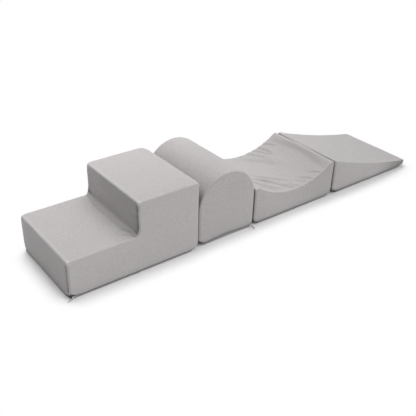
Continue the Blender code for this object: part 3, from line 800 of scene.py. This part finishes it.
def with_hem(points, faces, outward, rise):
    """The shell with its open foot turned in as a hem, and a facing below where the hem rides up."""
    used = dict.fromkeys(edge for face in faces for edge in zip(face, face[1:] + face[:1]))
    open_edges = [(a, b) for a, b in used if (b, a) not in used]
    rim = sorted({a for edge in open_edges for a in edge})
    turned = points[rim] - outward[rim] * HEM_DEPTH
    turned[:, 2] += HEM_ROLL
    facing = turned - outward[rim] * (FACING_BACK + rise[rim] * FACING_SHARE)[:, None]
    facing[:, 2] = np.maximum(turned[:, 2] - rise[rim] + RIM_HEIGHT - FOOT_HEIGHT, RIM_HEIGHT)
    first = {old: len(points) + k for k, old in enumerate(rim)}
    second = {old: new + len(rim) for old, new in first.items()}
    faces = faces + [(b, a, first[a], first[b]) for a, b in open_edges]
    faces += [(first[b], first[a], second[a], second[b]) for a, b in open_edges]
    # Painted shade on the hem, deepening to near black on the facing as the hem rides up
    pressed = np.tile(np.maximum(rise[rim] / FACING_DARK, HEM_SHADE), 2)
    return np.vstack([points, turned, facing]), faces, pressed


def corner_runs(block):
    """Where along the outline its corners and lips are: the middles of its tight turns."""
    stations, _, _ = block.stations()
    heading = np.unwrap(np.arctan2(stations[:, 3], stations[:, 2]))
    tight = np.abs(np.gradient(heading, stations[:, 4])) > TIGHT_TURN
    runs = [stations[0, 4], stations[-1, 4]]
    start = None
    for k, is_tight in enumerate(tight):
        if is_tight and start is None:
            start = k
        if not is_tight and start is not None:
            runs.append((stations[start, 4] + stations[k - 1, 4]) / 2)
            start = None
    return np.array(runs)


def relief(block, points, outward, facts):
    """How far each point stands out, by crown, puckers, folds and sunk seams, and its painted shading."""
    seam, run = facts.T
    corner = np.min(np.abs(run[:, None] - corner_runs(block)[None, :]), axis=1)
    is_side = np.abs(outward[:, 1])
    is_top = eased(outward[:, 2], *UPPER_LEAN) * (1 - is_side)
    rise_across = 1 - np.exp(-seam / CROWN_REACH)
    rise_along = 1 - np.exp(-corner / CROWN_REACH)
    crown = np.where(is_side > SIDE_LEAN, SIDE_CROWN * rise_across, TOP_CROWN * rise_across * rise_along)
    waver = WAVER_HEIGHT * ripple(points, WAVER_LENGTHS, block.seed) * (1 - np.exp(-seam / PUCKER_REACH))
    along = np.stack([run, np.sign(points[:, 1]) * block.half], axis=1)
    gathers = ripple(along, PUCKER_LENGTHS, block.seed + 1) + GATHER_BIAS
    reach = np.exp(-seam / PUCKER_REACH) * (1 - np.exp(-seam / SEAM_HALF_WIDTH))
    strength, valley = gathered(block, points, outward)
    puckers = PUCKER_HEIGHT * gathers * reach * (1 + strength)
    groove = SEAM_DEPTH * bell(seam, SEAM_HALF_WIDTH) * (1 + strength)
    ridge = RIDGE_HEIGHT * bell(seam - RIDGE_DISTANCE, SEAM_HALF_WIDTH)
    folds, creased = folded(block, points, outward)
    crease = creased_span(block, points, outward)
    knots = nubs(block, points)
    ragged = valley * (1 + VALLEY_RAGGED * gathers)
    sunk = VALLEY_DEPTH * ragged + CREASE_DEPTH * crease
    height = crown + waver + puckers + ridge - groove + folds - sunk + NUB_HEIGHT * knots
    # Painted shade in the seams and gathers, the valleys beside them, the fold troughs and the riser's
    # crease
    pressed = bell(seam, SHADE_REACH) * (SEAM_SHADE + GATHER_SHADE * strength)
    pressed += VALLEY_SHADE * ragged + FOLD_SHADE * creased + CREASE_SHADE * crease
    # Painted highlights along the side edges and on the nubs
    pressed -= EDGE_SHEEN * (4 * is_side * (1 - is_side)) ** 2 + NUB_SHEEN * knots
    # Painted highlights along the lips and top corners, except the ramp's
    if block.name != "ramp":
        pressed -= LIP_SHEEN * bell(corner, LIP_REACH) * is_top
    # Painted shade growing along some sides, and a painted highlight along the steps' side
    if block.name in SIDE_SHADES:
        shade, length = SIDE_SHADES[block.name]
        pressed += shade * smooth_step((points[:, 0] - block.half) / length + 1) * (is_side > SIDE_HALF)
    # Painted shade over the arch's and the wave's tops
    pressed += TOP_SHADES.get(block.name, 0) * is_top
    # Painted shade between blocks and along the foot, painted light on the steps' end and riser
    pressed += painted_shade_and_light(block, points, outward, seam, valley)
    return np.maximum(height, DEEPEST), pressed


def gathered(block, points, outward):
    """Where the steps' near seams are gathered, and where the cover sinks in a valley beside them."""
    if not block.inner_corner:
        return np.zeros(len(points)), np.zeros(len(points))
    is_low = points[:, 2] < LOWER_STEP_HEIGHT
    left = bell(points[:, 0] + block.half, GATHER_REACH) * is_low
    riser = bell(points[:, 0] - block.inner_corner[0], GATHER_REACH) * ~is_low
    across = bell(points[:, 1] + block.half_depth - VALLEY_CENTRE, VALLEY_HALF_WIDTH)
    top = np.where(is_low, LOWER_STEP_HEIGHT, block.height) - CORNER_RADIUS
    foot = np.where(is_low, FOOT_HEIGHT, LOWER_STEP_HEIGHT + INNER_CORNER_RADIUS)
    up = smooth_step((top - points[:, 2]) / VALLEY_FADE) * smooth_step((points[:, 2] - foot) / VALLEY_FADE)
    strength = (points[:, 1] < 0) * (LEFT_GATHER * left + RISER_GATHER * riser)
    return strength, across * eased(-outward[:, 0], *END_LEAN) * up


def painted_shade_and_light(block, points, outward, seam, valley):
    """Painted shade between blocks and along the foot, and painted light on the steps' end and riser."""
    # Painted shade along the foot
    found = FOOT_SHADE * np.exp(-np.maximum(points[:, 2] - FOOT_HEIGHT, 0) / FOOT_SHADE_REACH)
    # Painted shade on ends that stand against another block, on the arch only low down
    facing = block.facing(points, outward) * smooth_step((seam - BETWEEN_BLOCKS_START) / BETWEEN_BLOCKS_FADE)
    if block.name == "arch":
        facing *= smooth_step((ARCH_SHADE_TOP - points[:, 2]) / ARCH_SHADE_FADE)
    found += BETWEEN_BLOCKS_SHADE * facing
    if block.inner_corner:
        across, up = block.inner_corner
        # Painted light on the riser, growing toward its far end and its top
        on_riser = (outward[:, 0] < -END_LEAN[0]) * (points[:, 0] > across - RISER_SHEEN_START)
        high = smooth_step((points[:, 2] - up - RISER_SHEEN_START) / RISER_SHEEN_FADE)
        far = eased(points[:, 1], -block.half_depth, block.half_depth)
        found -= RISER_SHEEN * on_riser * high * far
        # Painted light on the steps' left end, left out in the valley
        on_end = eased(-outward[:, 0], *END_LEAN) * (points[:, 0] < -block.half / 2)
        found -= END_SHEEN * on_end * (1 - valley)
    return found


def nubs(block, points):
    """The small knots of cloth where three of the steps' seams meet, at both treads' near corners."""
    found = np.zeros(len(points))
    if block.inner_corner:
        for across, up in ((-block.half, LOWER_STEP_HEIGHT), (block.inner_corner[0], block.height)):
            knot = np.array([across, -block.half_depth, up]) + np.array([1, 1, -1]) * (NUB_REACH / 2)
            found += bell(norms(points - knot), NUB_REACH)
    return found


def creased_span(block, points, outward):
    """The riser's foot, where the spanning cover creases deepest toward both its ends."""
    if not block.inner_corner:
        return np.zeros(len(points))
    across, up = block.inner_corner
    from_near = points[:, 1] + block.half_depth
    from_far = block.half_depth - points[:, 1]
    above = points[:, 2] - (up + FACET_RISE * span_share(from_near, from_far) + CREASE_ABOVE)
    close = (np.abs(points[:, 0] - across) < FACET_FOOT / 2) * eased(np.abs(outward[:, 1]), *CREASE_LEAN)
    near = bell(above, CREASE_HALF_WIDTH) * bell(from_near, CREASE_NEAR)
    far = bell(above - POCKET_ABOVE, POCKET_HALF_WIDTH) * bell(from_far, CREASE_FAR)
    return close * (near + FAR_CREASE * far)


def folded(block, points, outward):
    """Long creases: each a trough with a ridge beside it, fading at both ends, and the troughs for painted
    shade.
    """
    height = np.zeros(len(points))
    creased = np.zeros(len(points))
    for start, end, width, depth in block.folds:
        start, end = np.array(start), np.array(end)
        length = np.linalg.norm(end - start)
        way = (end - start) / length
        place = points[:, :2] - start
        share = place @ way / length
        bend = FOLD_BEND * length * np.sin(math.pi * np.clip(share, 0, 1))
        off = place @ np.array([-way[1], way[0]]) - bend
        along = smooth_step(share / FOLD_FADE + FOLD_LEAST)
        along *= smooth_step((1 - share) / FOLD_FADE + FOLD_LEAST)
        trough = bell(off, width)
        ridge = bell(off - FOLD_RIDGE_SHARE * width, width)
        height += depth * along * (FOLD_RIDGE_RISE * ridge - trough)
        creased += along * trough
    level = eased(outward[:, 2], *FOLD_LEAN)
    return height * level, creased * level


def make_cover(block):
    points, outward, facts, faces = cover_shell(block)
    height, pressed = relief(block, points, outward, facts)
    foot = np.maximum(points[:, 2] - FOOT_HEIGHT, 0)
    height *= smooth_step(foot / FOOT_FADE + FOOT_LEAST)
    height -= FOOT_DRAW * np.exp(-foot / FOOT_DRAW_REACH)
    shell = points + outward * height[:, None]
    rise = block.raised(shell)
    shell[:, 2] += rise
    shell, faces, hem_shading = with_hem(shell, faces, outward, rise)
    cover = piece(block, "cover", shell, faces, "cover_velour")
    # The cover's painted shade and highlights, with the hem's painted shade after them
    paint_shading(cover, np.clip(np.concatenate([pressed, hem_shading]), -1, 1))
    name = block.name
    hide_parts(f"{name}_near_side_panel", f"{name}_far_side_panel", f"{name}_top_panel")


# Core and base

def make_core(block):
    """The foam block inside the cover, cut a little small all round, with its long edges broken."""
    stations, _, _ = block.stations()
    picked = stations[CORE_SKIP // 2::CORE_SKIP]
    inner = picked[:, :2] - picked[:, 2:4] * CORE_DEPTH
    left, right = inner[0, 0], inner[-1, 0]
    ring = np.vstack([(left, CORE_FOOT), inner[inner[:, 1] > CORE_FOOT], (right, CORE_FOOT)])
    centre = ring.mean(axis=0)
    small = ring + (centre - ring) * (CORE_BREAK / norms(ring - centre))[:, None]
    side = block.half_depth - CORE_DEPTH
    rows = [(-side, small), (CORE_BREAK - side, ring), (side - CORE_BREAK, ring), (side, small)]
    points = np.vstack([np.insert(line, 1, y, axis=1) for y, line in rows])
    count = len(ring)
    faces = [tuple(range(count))[::-1], tuple(range(3 * count, 4 * count))] + ring_faces(len(rows), count)
    core = piece(block, "core", points, faces, "cut_foam", smooth=False)
    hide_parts(f"{block.name}_foam_core")


def plan_loop(block):
    """Points round the block's plan, a rounded rectangle, with the way out at each."""
    points = []
    for across, along, start in ((1, -1, -90), (1, 1, 0), (-1, 1, 90), (-1, -1, 180)):
        centre = np.array([across * (block.half - PLAN_RADIUS), along * (block.half_depth - PLAN_RADIUS)])
        for angle in np.radians(np.linspace(start, start + 90, CORNER_POINTS)):
            ray = np.array([math.cos(angle), math.sin(angle)])
            points.append(np.concatenate([centre + ray * PLAN_RADIUS, ray]))
    loop = []
    for here, after in zip(points, points[1:] + points[:1]):
        count = max(1, round(np.linalg.norm((after - here)[:2]) / STATION_STEP))
        loop += [here + (after - here) * k / count for k in range(count)]
    return np.array(loop)


def with_sole(grid, faces, ring):
    """The tray with its flat bottom filled, finely enough to bend at the ramp's nose."""
    low, high = ring.min(axis=0), ring.max(axis=0)
    columns = np.arange(low[0] + SOLE_STEP, high[0] - SOLE_STEP / 2, SOLE_STEP)
    levels = np.arange(low[1] + SOLE_STEP, high[1] - SOLE_STEP / 2, SOLE_STEP)
    inner = np.array([(x, y) for x in columns for y in levels])
    shift = len(grid) - len(ring)
    faces = faces + [tuple(k + shift for k in face) for face in filled(np.vstack([ring, inner]), len(ring))]
    return np.vstack([grid, upright(inner, 0)]), faces


def make_base(block):
    """The base's shallow tray, with its rim rolled in under the zip."""
    loop = plan_loop(block)
    place, out = loop[:, :2], loop[:, 2:]
    rows = [(RIM_INSET + HEM_DEPTH, RIM_HEIGHT - HEM_ROLL), (RIM_INSET + HEM_ROLL, RIM_HEIGHT)]
    for angle in np.linspace(0, math.pi / 2, EDGE_STEPS):
        inset = BASE_EDGE_RADIUS * (1 - math.cos(angle))
        rows.append((RIM_INSET + inset, BASE_EDGE_RADIUS * (1 - math.sin(angle))))
    waver = RIM_WAVER * ripple(place, RIM_WAVER_LENGTHS, block.seed + 2)
    rings = []
    for inset, height in rows:
        loose = smooth_step(height / RIM_HEIGHT)
        rings.append(upright(place - out * inset + out * (waver * loose)[:, None], height))
    grid, faces = with_sole(np.vstack(rings), ring_faces(len(rows), len(loop)), rings[-1][:, :2])
    outward = grid - grid.mean(axis=0)
    outward[:, 2] = np.minimum(outward[:, 2] * SOLE_LEAN, SOLE_LEAST)
    base = piece(block, "base", grid, outwards(grid, faces, outward), "cover_velour")
    # Painted shade over the whole tray, darkening the line along the foot
    paint_shading(base, np.full(len(grid), RIM_SHADE))
    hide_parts(f"{block.name}_base_panel")


# Zip

def zip_line(block, step):
    """Points along the zip with the ways out and on: a long side, the end that opens, a long side."""
    run_end = block.half - PLAN_RADIUS
    half_y = block.half_depth
    line = [(-run_end, -half_y)]
    line += turn((run_end, PLAN_RADIUS - half_y), PLAN_RADIUS, -math.pi / 2, 0).tolist()
    line += turn((run_end, half_y - PLAN_RADIUS), PLAN_RADIUS, 0, math.pi / 2).tolist()
    line.append((-run_end, half_y))
    line = np.array(line)
    run = run_along(line)
    at = np.linspace(0, run[-1], round(run[-1] / step) + 1)
    place = np.stack([np.interp(at, run, line[:, 0]), np.interp(at, run, line[:, 1])], axis=1)
    tangent = unit(np.gradient(place, at, axis=0))
    outward = np.stack([tangent[:, 1], -tangent[:, 0]], axis=1)
    if block.sewn_end == RIGHT:
        for found in (place, outward, tangent):
            found[:, 0] *= -1
    return place, outward, tangent


def make_stringer(block, side):
    """A tape with its row of coil teeth: the upper one when side is 1, and the lower when it is -1."""
    place, outward, _ = zip_line(block, TAPE_STEP)
    section = (
        (TAPE_FRONT, TAPE_INNER_EDGE), (TAPE_FRONT, TAPE_EDGE),
        (TAPE_BACK, TAPE_EDGE), (TAPE_BACK, TAPE_INNER_EDGE),
    )
    rings = [upright(place - outward * depth, ZIP_HEIGHT + side * rise) for depth, rise in section]
    tape = np.stack(rings, axis=1).reshape(-1, 3)
    faces = ring_faces(len(place), 4) + [(0, 1, 2, 3), tuple(len(tape) - 4 + k for k in (3, 2, 1, 0))]
    place, outward, tangent = zip_line(block, TOOTH_PITCH)
    pick = slice(0, -1) if side > 0 else slice(1, None)
    centres = upright(place + tangent * (TOOTH_PITCH / 4 * side), ZIP_HEIGHT)[pick]
    ways = np.tile([0, 0, -side], (len(centres), 1))
    coil, teeth = bars(centres, ways, upright(outward, 0)[pick], upright(tangent, 0)[pick], TOOTH_PROFILE)
    shifted = [tuple(k + len(tape) for k in face) for face in teeth]
    which = "upper" if side > 0 else "lower"
    made = piece(block, f"{which}_zip", np.vstack([tape, coil]), faces + shifted, "zip_tape_weave")
    made.data.materials.append(bpy.data.materials["coil_nylon"])
    made.data.polygons.foreach_set("material_index", [0] * len(faces) + [1] * len(teeth))
    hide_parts(f"{block.name}_{which}_zip_stringer")


def make_stitches(block):
    """The row of stitches that holds the cover's hem to the upper tape."""
    place, outward, tangent = zip_line(block, STITCH_PITCH)
    out = upright(outward, 0)
    centres = upright(place, FOOT_HEIGHT + STITCH_RISE) + out * STITCH_OUT
    raised = np.array([0, 0, 1]) * block.raised(centres)[:, None]
    sides = np.tile([0, 0, 1], (len(centres), 1))
    points, faces = bars(centres + raised, upright(tangent, 0), out, sides, STITCH_PROFILE)
    made = piece(block, "hem_stitches", points, faces, "sewing_thread")


# Materials

def wired(tree, node, inputs):
    """Links each of a node's inputs to a socket, or sets it to a value."""
    for name, value in inputs.items():
        if isinstance(value, bpy.types.NodeSocket):
            tree.links.new(value, node.inputs[name])
        else:
            node.inputs[name].default_value = value


def added(tree, kind, inputs=(), **settings):
    node = tree.nodes.new(f"ShaderNode{kind}")
    for name, value in settings.items():
        setattr(node, name, value)
    wired(tree, node, dict(inputs))
    return node


def pattern(tree, kind, *numbers):
    """The output of one of the kinds of pattern, laid over the piece's own place."""
    node_kind, sockets, output = PATTERNS[kind]
    node = added(tree, node_kind, zip(sockets, numbers))
    if kind == "ribs":
        node.bands_direction = "Z"
    tree.links.new(added(tree, "TexCoord").outputs["Object"], node.inputs["Vector"])
    return node.outputs[output]


def mixed(tree, share, first, second):
    first, second = ((*colour, 1) if isinstance(colour, tuple) else colour for colour in (first, second))
    node = added(tree, "Mix", {"Factor": share, "A": first, "B": second}, data_type="RGBA")
    return node.outputs["Result"]


def ranged(tree, value, low, high, to_low, to_high):
    inputs = {"Value": value, "From Min": low, "From Max": high, "To Min": to_low, "To Max": to_high}
    return added(tree, "MapRange", inputs).outputs["Result"]


def bumped(tree, height, strength, distance):
    return added(tree, "Bump", {"Height": height, "Strength": strength, "Distance": distance})


def figured(tree, operation, first, second):
    return added(tree, "Math", {0: first, 1: second}, operation=operation).outputs[0]


def new_material(name):
    made = bpy.data.materials.new(name)
    made.use_nodes = True
    return made.node_tree, made.node_tree.nodes["Principled BSDF"]


def make_velour():
    """Short velour: mottled nap, fine grain and soft sheen, with painted shade and highlights by place."""
    tree, shader = new_material("cover_velour")
    grain = pattern(tree, *GRAIN)
    nap = mixed(tree, ranged(tree, pattern(tree, *NAP), *NAP_SPAN), *NAP_COLOURS)
    mottle = mixed(tree, ranged(tree, pattern(tree, *MOTTLE), *MOTTLE_SPAN), *MOTTLE_COLOURS)
    pressed = added(tree, "Attribute", attribute_name="pressed").outputs["Fac"]
    pile = mixed(tree, MOTTLE_SHARE, nap, mottle)
    # Painted highlights where the attribute falls below zero, painted shade where it rises above
    highlighted = mixed(tree, ranged(tree, pressed, 0, -1, 0, 1), pile, PAINTED_HIGHLIGHT_COLOUR)
    bump = bumped(tree, grain, *GRAIN_BUMP)
    lumps = bumped(tree, pattern(tree, *LUMPS), *LUMPS_BUMP)
    wired(tree, bump, {"Normal": lumps.outputs["Normal"]})
    wired(tree, shader, {
        "Base Color": mixed(tree, pressed, highlighted, PAINTED_SHADE_COLOUR),
        "Roughness": ranged(tree, grain, *VELOUR_ROUGHNESS),
        "Normal": bump.outputs["Normal"],
        **VELOUR_GLOSS,
    })


def make_plain(name):
    """One of the plain materials, by its row of looks."""
    tone, colours, wear, roughness, grain, bump, metal = LOOKS[name]
    tree, shader = new_material(name)
    wired(tree, shader, {
        "Base Color": mixed(tree, pattern(tree, *tone), *colours),
        "Roughness": ranged(tree, pattern(tree, *wear), *roughness) if wear else roughness,
        "Normal": bumped(tree, pattern(tree, *grain), *bump).outputs["Normal"],
        "Metallic": metal,
    })


def repaint(node, material):
    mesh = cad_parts[node].data
    mesh.materials.clear()
    mesh.materials.append(bpy.data.materials[material])


# Floor, light and camera

def shown_white(tree, shader):
    """White where the camera looks or metal mirrors, and the shader for all other light."""
    path = added(tree, "LightPath").outputs
    seen = figured(tree, "MAXIMUM", path["Is Camera Ray"], path["Is Glossy Ray"])
    seen = figured(tree, "MAXIMUM", seen, path["Is Transmission Ray"])
    white = added(tree, "Background", {"Color": WHITE})
    return added(tree, "MixShader", {0: seen, 1: shader, 2: white.outputs[0]}).outputs[0]


def make_world():
    """A soft studio: brighter from above and from the near right, dim from the far left."""
    world = bpy.data.worlds.new("studio")
    bpy.context.scene.world = world
    world.use_nodes = True
    tree = world.node_tree
    light = tree.nodes["Background"]
    way = added(tree, "TexCoord").outputs["Generated"]
    slope = added(tree, "VectorMath", {0: way, 1: WORLD_SLOPE}, operation="DOT_PRODUCT").outputs["Value"]
    level = figured(tree, "ADD", slope, WORLD_LEVEL)
    wired(tree, light, {"Color": WHITE, "Strength": figured(tree, "MAXIMUM", level, 0)})
    wired(tree, tree.nodes["World Output"], {"Surface": shown_white(tree, light.outputs[0])})


def make_key():
    """The key light: a wide round lamp, near enough to fall off toward the ramp."""
    lamp = bpy.data.lights.new("key", "AREA")
    lamp.shape = "DISK"
    lamp.size = KEY_WIDTH
    lamp.energy = KEY_POWER
    key = linked("key", lamp)
    key.location = Vector(KEY_AIM) + Vector(KEY_FROM) * KEY_DISTANCE
    key.rotation_mode = "QUATERNION"
    key.rotation_quaternion = Vector(KEY_FROM).to_track_quat("Z", "Y")
    key.visible_camera = False


def make_floor():
    """A pale floor that shows the shadow round the blocks' feet and is shown white farther off."""
    tree, shader = new_material("floor_paint")
    seen = added(tree, "LightPath").outputs["Is Camera Ray"]
    place = added(tree, "TexCoord").outputs["Object"]
    across = added(tree, "SeparateXYZ", {0: place}).outputs["X"]
    # Painted shade: the colour the camera sees dims toward the row's right end
    shown = mixed(tree, ranged(tree, across, *FLOOR_SHADE_PAINT_SPAN, 0, 1), FLOOR_SHOWN_COLOUR, FLOOR_SHADE_PAINT_COLOUR)
    colour = mixed(tree, seen, FLOOR_COLOUR, shown)
    wired(tree, shader, {"Base Color": colour, "Roughness": 1, "Specular IOR Level": 0})
    openness = added(tree, "AmbientOcclusion", {"Distance": SHADOW_REACH}, samples=OPENNESS_SAMPLES)
    low, high = (ranged(tree, across, *ROW_SPAN, *ends) for ends in (OPENNESS_LOW, OPENNESS_HIGH))
    far = ranged(tree, openness.outputs["AO"], low, high, 0, 1)
    white = added(tree, "Emission").outputs[0]
    share = figured(tree, "MULTIPLY", far, seen)
    blend = added(tree, "MixShader", {0: share, 1: shader.outputs[0], 2: white}).outputs[0]
    wired(tree, tree.nodes["Material Output"], {"Surface": blend})
    mesh = bpy.data.meshes.new("floor")
    half = FLOOR_HALF
    corners = [(-half, -half), (half, -half), (half, half), (-half, half)]
    mesh.from_pydata([(x, y, -FLOOR_GAP) for x, y in corners], [], [(0, 1, 2, 3)])
    mesh.materials.append(bpy.data.materials["floor_paint"])
    linked("floor", mesh)


def make_camera():
    camera = bpy.data.cameras.new("camera")
    camera.lens = CAMERA_LENS_MM
    holder = linked("camera", camera)
    aim = Matrix.Rotation(-CAMERA_YAW, 4, "Z") @ Matrix.Rotation(math.pi / 2 - CAMERA_PITCH, 4, "X")
    holder.matrix_world = Matrix.Translation(CAMERA_PLACE) @ aim @ Matrix.Rotation(CAMERA_ROLL, 4, "Z")
    bpy.context.scene.camera = holder


def main():
    make_velour()
    for name in LOOKS:
        make_plain(name)
    blocks = [
        Block("steps", steps_line, LEFT, 11, STEPS_FOLDS),
        Block("arch", arch_line, RIGHT, 21),
        Block("wave", wave_line, LEFT, 31, WAVE_FOLDS),
        Block("ramp", ramp_line, LEFT, 41),
    ]
    for block in blocks:
        make_core(block)
        make_cover(block)
        make_base(block)
        for side in (1, -1):
            make_stringer(block, side)
        make_stitches(block)
        repaint(f"{block.name}_zip_slider", "nickel_plate")
        repaint(f"{block.name}_zip_pull_loop", "nickel_plate")
        repaint(f"{block.name}_zip_pull_strip", "cover_velour")
        if f"{block.name}_side_tab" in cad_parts:
            repaint(f"{block.name}_side_tab", "cover_velour")
    make_floor()
    make_world()
    make_key()
    make_camera()
    bpy.context.scene.view_settings.view_transform = "Standard"


main()
